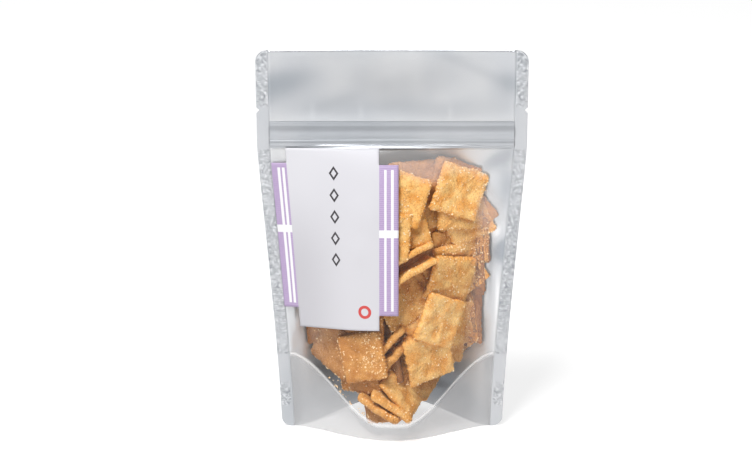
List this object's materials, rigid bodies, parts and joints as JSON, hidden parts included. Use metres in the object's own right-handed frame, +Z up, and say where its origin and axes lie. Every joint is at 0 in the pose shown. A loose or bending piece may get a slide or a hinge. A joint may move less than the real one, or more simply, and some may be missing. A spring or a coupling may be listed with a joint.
{
  "type": "stand-up zip pouch of japanese rice crackers",
  "caption": "Filled stand-up zip pouch of small square sugared rice crackers, with clear front film, silver back film, a curved gusset weld and a cross-shaped paper label.",
  "frame": {"origin": "middle of the footprint, on the surface that the pouch stands on", "axes": "+Z up along the pouch's height, +X along its width to the viewer's right, and the labelled front faces -Y"},
  "size_m": [0.1404, 0.0622, 0.208],
  "materials": {
    "clear_film": "thin clear film, faintly frosted, with soft gloss",
    "silver_film": "satin silver film, softly wrinkled",
    "label_paper": "smooth coated paper with bands of soft purple",
    "cracker": "dry toasted crust with a light sugar glaze",
    "sugar": "pale sugar crystals"
  },
  "bodies": {
    "root": {"pouch": "clear_film", "label": "label_paper"}
  },
  "joints": []
}
